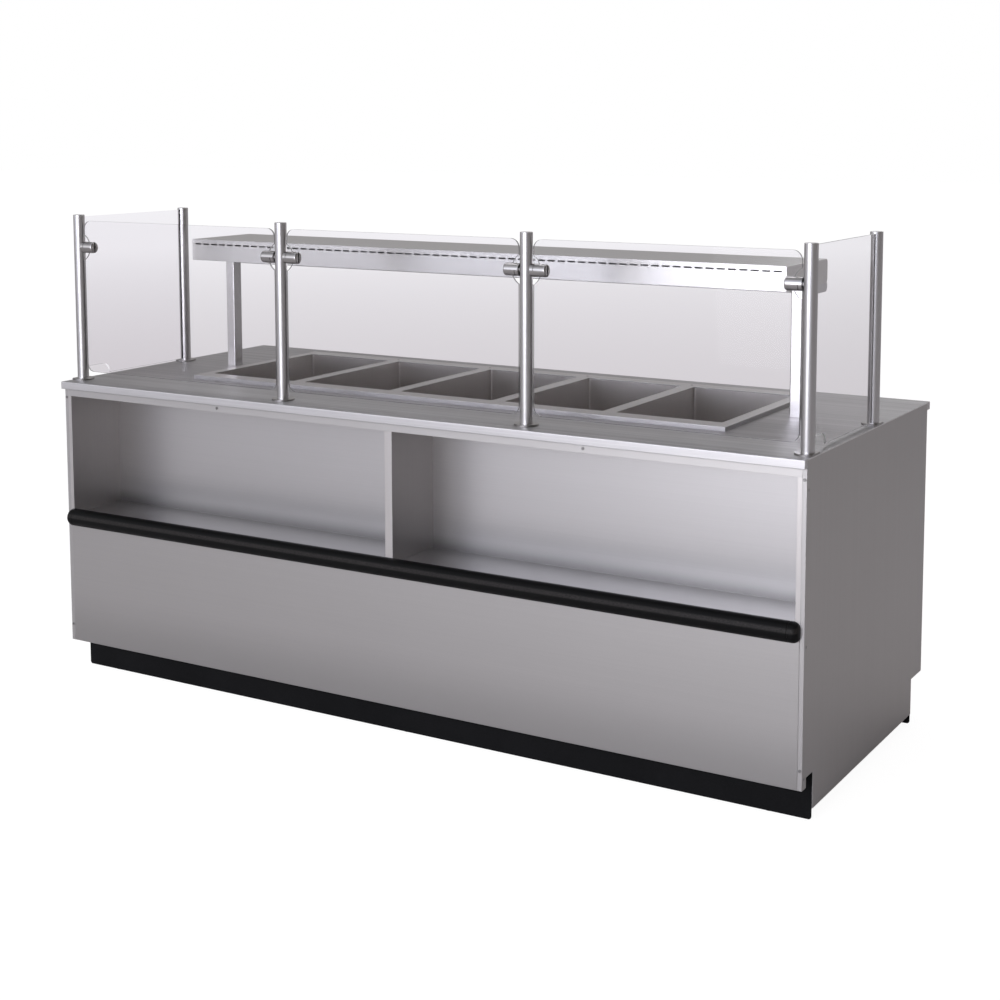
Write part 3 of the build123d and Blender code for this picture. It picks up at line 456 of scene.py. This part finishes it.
def clear_glass(name, pane_axis, low_tint, high_tint, edge_painted_tone, edge_painted_glow=None):
    """Clear toughened glass, a little greyer towards its foot, with ground edges in a painted tone of their
    own and, where asked, a faint painted glow.
    """
    material, graph, shader = new_material(name)
    height = graph.spread(graph.own("Object")["Z"], glass_low.z, glass_high.z)
    hazed = graph.swing(graph.noise([haze_scale] * 3, haze_detail), haze_swing, height)
    tint = graph.ramp(hazed, [(0.0, low_tint), (1.0, high_tint)])
    # edges: a painted tone, dark lines or light, in place of how light bends in them
    edge = graph.ramp(square_to(graph, pane_axis), list(zip(square_range, (1.0, 0.0))))
    graph.put(shader, "Base Color", graph.mix(edge, tint, edge_painted_tone))
    graph.put(shader, "Roughness", graph.math("MULTIPLY", edge, glass_ground))
    graph.put(shader, "IOR", glass_ior)
    graph.put(shader, "Transmission Weight", 1.0)
    # painted glow on the edges, faded out near the foot where they stand in shade
    if edge_painted_glow:
        over_foot = graph.spread(graph.own("Object")["Z"], glass_foot, glass_foot + foot_shadow)
        lit = graph.math("MULTIPLY", edge, over_foot)
        graph.put(shader, "Emission Color", graph.mix(lit, (0.0, 0.0, 0.0), edge_painted_glow))
        graph.put(shader, "Emission Strength", 1.0)
    return material


def lamp_lens(name, colour):
    """Tinted lens with a fine pattern inside it."""
    material, graph, shader = new_material(name)
    pattern = graph.noise([lens_scale] * 3, lens_detail)
    graph.put(shader, "Base Color", graph.ramp(pattern, shades_of(colour, lens_range, lens_tones)))
    graph.put(shader, "Roughness", lens_rough)
    graph.put(shader, "Transmission Weight", lens_clear)
    graph.put(shader, "Coat Weight", lens_coat)
    return material


def mineral_wool(name, dark, light):
    """Matted fibres of insulation."""
    material, graph, shader = new_material(name)
    fibre = graph.noise(fibre_scale, fibre_detail, fibre_tangle)
    graph.put(shader, "Base Color", graph.ramp(fibre, list(zip(fibre_range, (dark, light)))))
    graph.put(shader, "Roughness", fibre_rough)
    graph.bump(shader, fibre, fibre_bump, fibre_deep)
    return material


def sight(graph):
    """Two shares, 1 or 0: the eye sees this place straight, and the eye sees it through glass."""
    path = graph.add("LightPath")
    bounces = graph.math("ADD", path.outputs["Glossy Depth"], path.outputs["Diffuse Depth"])
    direct = graph.math("LESS_THAN", bounces, 0.5)
    return path.outputs["Is Camera Ray"], graph.math("MULTIPLY", path.outputs["Is Transmission Ray"], direct)


def add_sheet(name, width, height, material):
    """Flat rectangle of the studio about its own middle."""
    mesh = bpy.data.meshes.new(name)
    corners = [(-1, -1), (1, -1), (1, 1), (-1, 1)]
    mesh.from_pydata([(x * width / 2, y * height / 2, 0) for x, y in corners], [], [(0, 1, 2, 3)])
    mesh.materials.append(material)
    sheet = bpy.data.objects.new(name, mesh)
    scene.collection.objects.link(sheet)
    return sheet


def aim(thing, place, target, front="-Z"):
    """Put a light in its place, with its front turned to its target."""
    thing.location = place
    thing.rotation_euler = (Vector(target) - Vector(place)).to_track_quat(front, "Y").to_euler()


def add_floor():
    """Plain pale floor: grey to what it lights, white to the eye, with soft shadows."""
    material, graph, shader = new_material("floor")
    graph.put(shader, "Base Color", (*floor_tone, 1))
    graph.put(shader, "Roughness", floor_rough)
    graph.put(shader, "Specular IOR Level", floor_gloss)
    straight, through = sight(graph)
    away = graph.add("VectorMath", operation="LENGTH")
    graph.put(away, 0, graph.add("NewGeometry").outputs["Position"])
    distance = graph.spread(away.outputs["Value"], glass_view_near, glass_view_far)
    behind = graph.ramp(distance, [(0, glass_view_low), (1, glass_view_high)])
    glow = graph.add("Emission", Color=graph.mix(through, (floor_glow,) * 3, behind), Strength=1.0)
    seen = graph.math("MAXIMUM", straight, through)
    blend = graph.add("MixShader", Fac=graph.math("MULTIPLY", seen, floor_glow_share))
    graph.put(blend, 1, shader.outputs["BSDF"])
    graph.put(blend, 2, glow.outputs["Emission"])
    set_surface(material, graph, blend)
    add_sheet("floor", 2 * floor_reach, 2 * floor_reach, material)


def add_softbox():
    """Soft light in front: a clear sheet that glows towards the counter, and that the eye never sees."""
    material, graph, _ = new_material("softbox")
    straight, through = sight(graph)
    behind = graph.add("NewGeometry").outputs["Backfacing"]
    hidden = graph.math("MAXIMUM", graph.math("MAXIMUM", straight, through), behind)
    strength = graph.spread(hidden, 0, 1, softbox_glow, 0)
    glow = graph.add("Emission", Color=(*light_colour, 1), Strength=strength)
    both = graph.add("AddShader")
    graph.put(both, 0, glow.outputs["Emission"])
    graph.put(both, 1, graph.add("BsdfTransparent").outputs["BSDF"])
    set_surface(material, graph, both)
    sheet = add_sheet("softbox", *softbox_size, material)
    aim(sheet, softbox_place, softbox_target, "Z")


def area_light(name, place, target, size, power):
    """Soft rectangular light that the camera doesn't see straight."""
    data = bpy.data.lights.new(name, "AREA")
    data.shape = "RECTANGLE"
    data.size, data.size_y = size
    data.energy = power
    data.color = light_colour
    light = bpy.data.objects.new(name, data)
    aim(light, place, target)
    light.visible_camera = False
    scene.collection.objects.link(light)


def room_hue(value):
    """Hue of the room's light: bluish where it is brightest, warm where it is dim."""
    if value > room_glare:
        return room_blue
    if value > room_bright:
        return room_cool
    return room_plain if value > room_dim else room_warm


def add_studio():
    """White room to the eye; its light is bright in front, dim on the right and softer elsewhere."""
    world = bpy.data.worlds.new("studio")
    world.use_nodes = True
    graph = Graph(world.node_tree)
    way = graph.own("Generated")
    azimuth = graph.math("ARCTAN2", way["X"], graph.math("MULTIPLY", way["Y"], -1))
    turn = graph.math("MULTIPLY_ADD", azimuth, 0.5 / pi, 0.5)
    stops = [(angle / 360 + 0.5, shade(room_hue(value), value)) for angle, value in room_by_azimuth]
    room = graph.scaled(graph.ramp(turn, stops), graph.ramp(way["Z"], room_by_height))
    straight, through = sight(graph)
    unlit = graph.mix(through, room, glass_view_high)
    graph.put(world.node_tree.nodes["Background"], "Color", graph.mix(straight, unlit, room_seen))
    scene.world = world
    scene.view_settings.view_transform = "Standard"
    add_softbox()
    area_light("rear", rear_place, rear_target, rear_size, rear_power)
    area_light("overhead", overhead_place, overhead_target, overhead_size, overhead_power)


def add_piece(name, mesh_edit, look, body, replaced=()):
    """Turn a built mesh into a piece that rides a body, with the finish of a given look."""
    bmesh.ops.recalc_face_normals(mesh_edit, faces=mesh_edit.faces)
    mesh = bpy.data.meshes.new(name)
    mesh_edit.to_mesh(mesh)
    mesh_edit.free()
    mesh.shade_smooth()
    mesh.set_sharp_from_angle(angle=radians(sharp_angle))
    mesh.materials.append(materials[look])
    piece = bpy.data.objects.new(name, mesh)
    scene.collection.objects.link(piece)
    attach(piece, body)
    if replaced:
        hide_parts(*replaced)


def join_loops(mesh_edit, near, far):
    """Faces between two loops of as many points."""
    for i in range(len(near)):
        mesh_edit.faces.new((near[i - 1], near[i], far[i], far[i - 1]))


def add_rings(mesh_edit, rings, cap_start=True, cap_end=True):
    """Join rings of points into a skin, close its ends where asked, and give back the rings' points."""
    loops = [[mesh_edit.verts.new(point) for point in ring] for ring in rings]
    for near, far in zip(loops[:-1], loops[1:]):
        join_loops(mesh_edit, near, far)
    if cap_start:
        mesh_edit.faces.new(loops[0])
    if cap_end:
        mesh_edit.faces.new(loops[-1])
    return loops


def add_hoop(mesh_edit, seat, outline, sides):
    """Ring turned from a closed outline of (radius, height) about a seat's Z."""
    loops = [[mesh_edit.verts.new(point) for point in set_in(seat, circle(*spot, sides))] for spot in outline]
    for i in range(len(loops)):
        join_loops(mesh_edit, loops[i - 1], loops[i])


def circle(radius, height, sides):
    """Points of a circle at a height."""
    angles = [2 * pi * i / sides for i in range(sides)]
    return [(radius * cos(angle), radius * sin(angle), height) for angle in angles]


def facing(place, outward, up):
    """Frame at a place whose Z looks outward and whose Y is nearest to up."""
    across = up.cross(outward)
    rows = Matrix((across, outward.cross(across), outward)).transposed().to_4x4()
    return Matrix.Translation(place) @ rows


def set_in(frame_of, points):
    """Points of a frame in the counter's own coordinates."""
    return [frame_of @ Vector(point) for point in points]


def boxes_of(points, spread):
    """Lowest and highest corners of the groups that points form, by how near they lie."""
    groups = []
    for point in points:
        near = [group for group in groups if (group[0] - point).length < spread]
        if near:
            near[0].append(point)
        else:
            groups.append([point])
    corners = []
    for group in groups:
        spans = list(zip(*group))
        corners.append((Vector([min(span) for span in spans]), Vector([max(span) for span in spans])))
    return corners


def solids_of(name, spread):
    """Corners of a node's separate small solids."""
    return boxes_of([vertex.co for vertex in nodes[name].data.vertices], spread)


def add_bumper():
    """Bumper: a D-shaped bar with rounded ends and a moulded cap let in at each end."""
    radius = (bumper_high.z - bumper_low.z) / 2
    middle = (bumper_high.z + bumper_low.z) / 2
    nose = bumper_low.y + radius

    def section(x, inset):
        reach = radius - inset
        arc = [pi * (0.5 - i / bumper_arc_steps) for i in range(bumper_arc_steps + 1)]
        points = [(x, nose - reach * cos(angle), middle + reach * sin(angle)) for angle in arc]
        return [(x, bumper_high.y, middle + reach), *points, (x, bumper_high.y, middle - reach)]

    stations = []
    for i in range(bumper_end_steps + 1):
        angle = pi / 2 * i / bumper_end_steps
        stations.append((bumper_end_round * (1 - cos(angle)), bumper_end_round * (1 - sin(angle))))
    for offset, inset in ((-2, 0), (-1, bumper_seam_deep), (1, bumper_seam_deep), (2, 0)):
        stations.append((bumper_seam_at + offset * bumper_seam_half, inset))
    rings = [section(bumper_low.x + along, inset) for along, inset in stations]
    rings += [section(bumper_high.x - along, inset) for along, inset in reversed(stations)]
    bumper = bmesh.new()
    add_rings(bumper, rings)
    add_piece("bumper_cover", bumper, "bumper_vinyl", "counter", ["bumper_rail"])


def screw_head(mesh_edit, seat, radius):
    """Screw head with a cross recess; its outer face lies in the seat's plane."""
    outline = [(radius, -head_deep), (radius, -head_ease), (radius - head_ease, 0)]
    rings = [set_in(seat, circle(r, height, head_sides)) for r, height in outline]
    rim = add_rings(mesh_edit, rings, cap_end=False)[-1]
    arm, half = recess_arm * radius, recess_half * radius
    quarter = [(half, half), (half, arm), (-half, arm)]
    cross = list(quarter)
    for turns in range(1, 4):
        cross += [(Matrix.Rotation(turns * pi / 2, 2) @ Vector(point))[:] for point in quarter]
    levels = [set_in(seat, [(x, y, height) for x, y in cross]) for height in (0, -recess_deep)]
    mouth = add_rings(mesh_edit, levels, cap_start=False)[0]
    edges = [mesh_edit.edges.get((loop[i - 1], loop[i])) for loop in (rim, mouth) for i in range(len(loop))]
    bmesh.ops.triangle_fill(mesh_edit, use_beauty=True, edges=edges)


def add_screws():
    """Panel screws in their packed places, and the rim's screws between the wells."""
    panel = bmesh.new()
    for low, high in solids_of("panel_screws", screw_spread):
        middle = (low + high) / 2
        if high.y - low.y > high.x - low.x:
            outward = frontward
            place = Vector((middle.x, low.y, middle.z))
            radius = (high.x - low.x) / 2
        else:
            side = 1 if middle.x > 0 else -1
            outward = Vector((side, 0, 0))
            place = Vector((high.x if side > 0 else low.x, middle.y, middle.z))
            radius = (high.y - low.y) / 2
        screw_head(panel, facing(place, outward, upward), radius)
    add_piece("panel_screw_heads", panel, "screw_steel", "counter", ["panel_screws"])
    rim = bmesh.new()
    for x in well_xs[1:]:
        place = Vector((x - well_pitch / 2, rim_high.y - rim_screw_in, rim_high.z + rim_screw_rise))
        screw_head(rim, facing(place, upward, rearward), rim_screw_r)
    add_piece("rim_screw_heads", rim, "screw_steel", "counter")


def slab(mesh_edit, seat, outline, thick):
    """Flat plate on a seat's plane."""
    add_rings(mesh_edit, [set_in(seat, [(x, y, height) for x, y in outline]) for height in (0, thick)])


def bar(width, start, stop):
    """Outline of an upright bar."""
    return [(-width / 2, start), (width / 2, start), (width / 2, stop), (-width / 2, stop)]


def add_digit(mesh_edit, text, seat):
    """One plain number, as a thin raised print on a seat's plane."""
    data = bpy.data.curves.new("digit", "FONT")
    data.body = text
    data.size = digit_size
    data.align_x, data.align_y = "CENTER", "CENTER"
    data.extrude = ink_thick
    carrier = bpy.data.objects.new("digit", data)
    mesh = carrier.to_mesh()
    mesh.transform(seat)
    mesh_edit.from_mesh(mesh)
    carrier.to_mesh_clear()
    bpy.data.objects.remove(carrier)
    bpy.data.curves.remove(data)


def add_dials():
    """Plain dial numbers and ticks, clockwise from 0 at the top, and a line on each knob."""
    dials = bmesh.new()
    for number, x in enumerate(well_xs, start=1):
        knob_low, knob_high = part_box(f"knob_{number}")
        centre_z = (knob_low.z + knob_high.z) / 2
        dial = facing(Vector((x, panel_face, centre_z)), rearward, upward)
        for step in range(dial_numbers):
            turn = Matrix.Rotation(-radians(step * dial_step), 4, "Z")
            slab(dials, dial @ turn, bar(tick_width, tick_from, tick_from + tick_length), ink_thick)
            spot = turn @ Vector((0, digit_at, 0))
            add_digit(dials, str(step), dial @ Matrix.Translation(spot))
        line = bmesh.new()
        top = facing(Vector((x, knob_high.y, centre_z)), rearward, upward)
        slab(line, top, bar(pointer_width, pointer_from, pointer_from + pointer_length), ink_thick)
        add_piece(f"knob_line_{number}", line, "control_red", f"knob_{number}")
    add_piece("dial_marks", dials, "control_black", "counter")


def add_lamp_bezels():
    """Turned ring round each pilot lamp."""
    bezels = bmesh.new()
    outer = [(bezel_r, 0), (bezel_r, bezel_side), bezel_shoulder]
    inner = [bezel_crest, (bezel_bore, bezel_lip), (bezel_bore, 0)]
    for low, high in solids_of("pilot_lamps", lamp_spread):
        middle = (low + high) / 2
        seat = facing(Vector((middle.x, panel_face, middle.z)), rearward, upward)
        add_hoop(bezels, seat, outer + inner, ring_sides)
    add_piece("lamp_bezels", bezels, "polished_steel", "counter")


def rocker_seats(name):
    """Frames in the middle of a rocker's two halves, the pressed half first."""
    outer = [face for face in nodes[name].data.polygons if face.normal.y > rocker_facing]
    seats = []
    for way in (1, -1):
        faces = [face for face in outer if way * face.normal.z > 0]
        place = sum((face.center * face.area for face in faces), Vector()) / sum(face.area for face in faces)
        outward = sum((face.normal * face.area for face in faces), Vector()).normalized()
        seats.append((place.y, facing(place, outward, upward)))
    seats.sort(key=lambda seat: seat[0])
    return [seat for _, seat in seats]


def add_rocker_marks(name):
    """A ring on the rocker's pressed half and a bar on its raised half."""
    pressed, raised = rocker_seats(name)
    marks = bmesh.new()
    inner = mark_ring - mark_width
    outline = [(mark_ring, 0), (mark_ring, ink_thick), (inner, ink_thick), (inner, 0)]
    add_hoop(marks, pressed, outline, ring_sides)
    slab(marks, raised, bar(mark_width, -mark_length / 2, mark_length / 2), ink_thick)
    add_piece(f"{name}_marks", marks, "control_black", name)


steel_grey = (0.49, 0.472, 0.462)
shelf_grey = (0.8, 0.785, 0.77)
# Some finishes paint shade near a height (the niche back above its floor, the panel's foot, the rail under
# the worktop), and paint faces that look one way lighter or darker for how the light falls on them
metals = {
    "satin_steel": dict(colour=steel_grey, roughness=0.38),
    # Worktop: painted shade along its front edges and a painted highlight line along its ends; its top
    # painted darker than its front
    "worktop_steel": dict(
        colour=(0.588, 0.572, 0.574), roughness=0.42, contrast=0.12, bands=0.6, edge=3 * mm, edge_wear_and_highlight=(0.85, 1.7),
        cross_painted_shading=0.74, cross_matt=0.06,
    ),
    "well_steel": dict(colour=(0.67, 0.642, 0.62), roughness=0.3, axis="z", edge=0),
    "niche_steel": dict(
        colour=(0.588, 0.57, 0.569), roughness=0.34, cross_painted_shading=0.46, painted_shade=(niche_floor, 50 * mm, 0.48),
    ),
    "niche_side_steel": dict(
        colour=(0.62, 0.592, 0.58), roughness=0.36, axis="z", cross="X", cross_painted_shading=0.59,
    ),
    "panel_steel": dict(colour=steel_grey, roughness=0.38, painted_shade=(panel_foot, 180 * mm, 0.82)),
    "rail_steel": dict(colour=(0.555, 0.536, 0.527), roughness=0.38, painted_shade=(rail_top, -8 * mm, 0.8)),
    "end_steel": dict(colour=(0.492, 0.474, 0.466), roughness=0.42, axis="z", edge=2 * mm),
    "rim_steel": dict(
        colour=(0.43, 0.418, 0.418), roughness=0.36, contrast=0.08, edge=1 * mm, cross_painted_shading=1.34,
    ),
    "shelf_steel": dict(colour=shelf_grey, roughness=0.28, contrast=0.05, edge=0, cross_painted_shading=0.56),
    "cap_steel": dict(
        colour=shelf_grey, roughness=0.28, axis="y", contrast=0.05, edge=3 * mm, cross_painted_shading=0.56,
    ),
    "support_steel": dict(
        colour=(0.88, 0.86, 0.858), roughness=0.26, axis="z", edge=3 * mm, cross="X", cross_painted_shading=0.66,
    ),
    "housing_steel": dict(colour=(0.8, 0.79, 0.8), roughness=0.4, edge=0),
    "polished_steel": dict(colour=(0.58, 0.565, 0.565), roughness=0.3, axis="z", contrast=0.02, edge=0),
    "flange_steel": dict(colour=(0.3, 0.286, 0.278), roughness=0.3, contrast=0.03, edge=0),
    "clamp_steel": dict(colour=(0.44, 0.424, 0.418), roughness=0.27, contrast=0.03, edge=0),
    "pin_steel": dict(colour=(0.75, 0.735, 0.73), roughness=0.5, edge=0),
    "screw_steel": dict(colour=(0.32, 0.31, 0.305), roughness=0.35, edge=0),
    "frame_steel": dict(colour=(0.4, 0.4, 0.4), roughness=0.5, contrast=0.12),
    "foot_steel": dict(colour=(0.5, 0.49, 0.47), roughness=0.4, axis="z"),
    "element_steel": dict(colour=(0.22, 0.2, 0.19), roughness=0.45),
    "drain_brass": dict(colour=(0.62, 0.47, 0.24), roughness=0.32),
    "track_aluminium": dict(colour=(0.58, 0.58, 0.59), roughness=0.38),
}
plastics = {
    "kick_black": dict(colour=(0.006, 0.006, 0.0065), roughness=0.55, scale=500, bump=0.1, gloss=0.08),
    "control_black": dict(colour=(0.018, 0.018, 0.019), roughness=0.4),
    "control_red": dict(colour=(0.42, 0.012, 0.01), roughness=0.3),
}
# guard panes: edges painted dark; end panes: edges painted light with a faint painted glow
glasses = {
    "guard_glass": dict(
        pane_axis="Y", low_tint=(0.93, 0.92, 0.93), high_tint=(0.96, 0.955, 0.965),
        edge_painted_tone=(0.12, 0.12, 0.12),
    ),
    "end_glass": dict(
        pane_axis="X", low_tint=(0.95, 0.94, 0.95), high_tint=(0.97, 0.965, 0.975),
        edge_painted_tone=(0.9, 0.9, 0.91), edge_painted_glow=(0.2, 0.2, 0.2),
    ),
}
# the bumper's brown-grey band is a painted sheen
vinyls = {"bumper_vinyl": dict(colour=(0.004, 0.004, 0.004), painted_sheen_tint=(0.03, 0.0265, 0.0245))}
lenses = {"red_lens": dict(colour=(0.7, 0.02, 0.015))}
wools = {"insulation": dict(dark=(0.36, 0.31, 0.2), light=(0.66, 0.6, 0.44))}
materials = {}
for make, looks in (
    (brushed_metal, metals), (speckled, plastics), (clear_glass, glasses),
    (scuffed_vinyl, vinyls), (lamp_lens, lenses), (mineral_wool, wools),
):
    for name, look in looks.items():
        materials[name] = make(name, **look)

# Nodes whose look differs from the finish of their record slot
own_looks = {
    "end_glasses": "end_glass",
    "left_end_panel": "end_steel",
    "right_end_panel": "end_steel",
    "front_lower_panel": "panel_steel",
    "niche_rail": "rail_steel",
    "niche_sides": "niche_side_steel",
    "niche_divider": "niche_side_steel",
    "well_rim": "rim_steel",
    "shelf_supports": "support_steel",
    "shelf_end_caps": "cap_steel",
    "heat_strip_housing": "housing_steel",
    "post_flanges": "flange_steel",
    "glass_clamps_left": "clamp_steel",
    "glass_clamps_centre": "clamp_steel",
    "glass_clamps_right": "clamp_steel",
    "pivot_pins": "pin_steel",
    "pilot_lamps": "red_lens",
}


def finish_nodes():
    """Give each node of the frame its own look, or the finish of its record slot."""
    for part in frame["record"]["subparts"]:
        slots = nodes[part["node"]].data.materials
        slots.clear()
        slots.append(materials[own_looks.get(part["node"], part["material_slot"])])


add_camera()
add_floor()
add_studio()
finish_nodes()
add_bumper()
add_screws()
add_dials()
add_lamp_bezels()
for rocker in ("power_rocker", "heat_strip_rocker"):
    add_rocker_marks(rocker)
